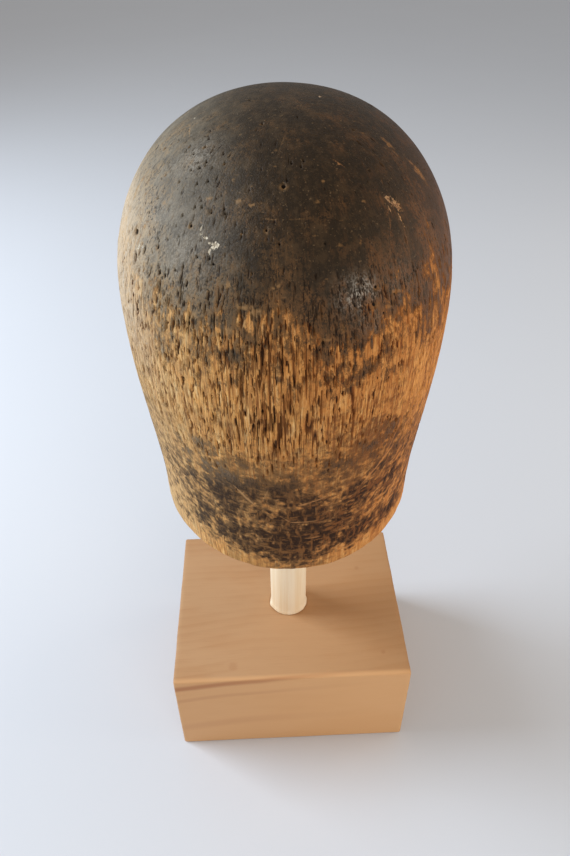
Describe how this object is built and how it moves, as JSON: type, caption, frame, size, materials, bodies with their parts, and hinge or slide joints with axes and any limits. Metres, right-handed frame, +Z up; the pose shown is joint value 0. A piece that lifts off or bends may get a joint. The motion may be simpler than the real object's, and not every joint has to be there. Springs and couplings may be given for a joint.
{
  "type": "hat block",
  "caption": "Head-shaped wooden hat block that turns on and lifts off a round post in a rectangular wooden base.",
  "frame": {"origin": "centre of the base's underside, on the post's axis, on the surface that the base stands on", "axes": "+Z up along the post, -Y towards the front of the block, +X to the right seen from the front"},
  "size_m": [0.1616, 0.194, 0.403],
  "materials": {
    "block_wood": "old dark patina, worn through to bare wood round the neck",
    "post_wood": "bare birch",
    "base_wood": "bare sanded softwood"
  },
  "bodies": {
    "stand": {"base_block": "base_wood"},
    "post": {"post": "post_wood"},
    "block": {"head_block": "block_wood"}
  },
  "joints": [
    {"name": "block_turn", "type": "hinge", "parent": "stand", "child": "post", "pos_m": [0, 0, 0.076], "axis": [0, 0, 1], "continuous": true},
    {"name": "block_lift", "type": "slide", "parent": "post", "child": "block", "axis": [0, 0, 1], "range_m": [0, 0.06]}
  ]
}
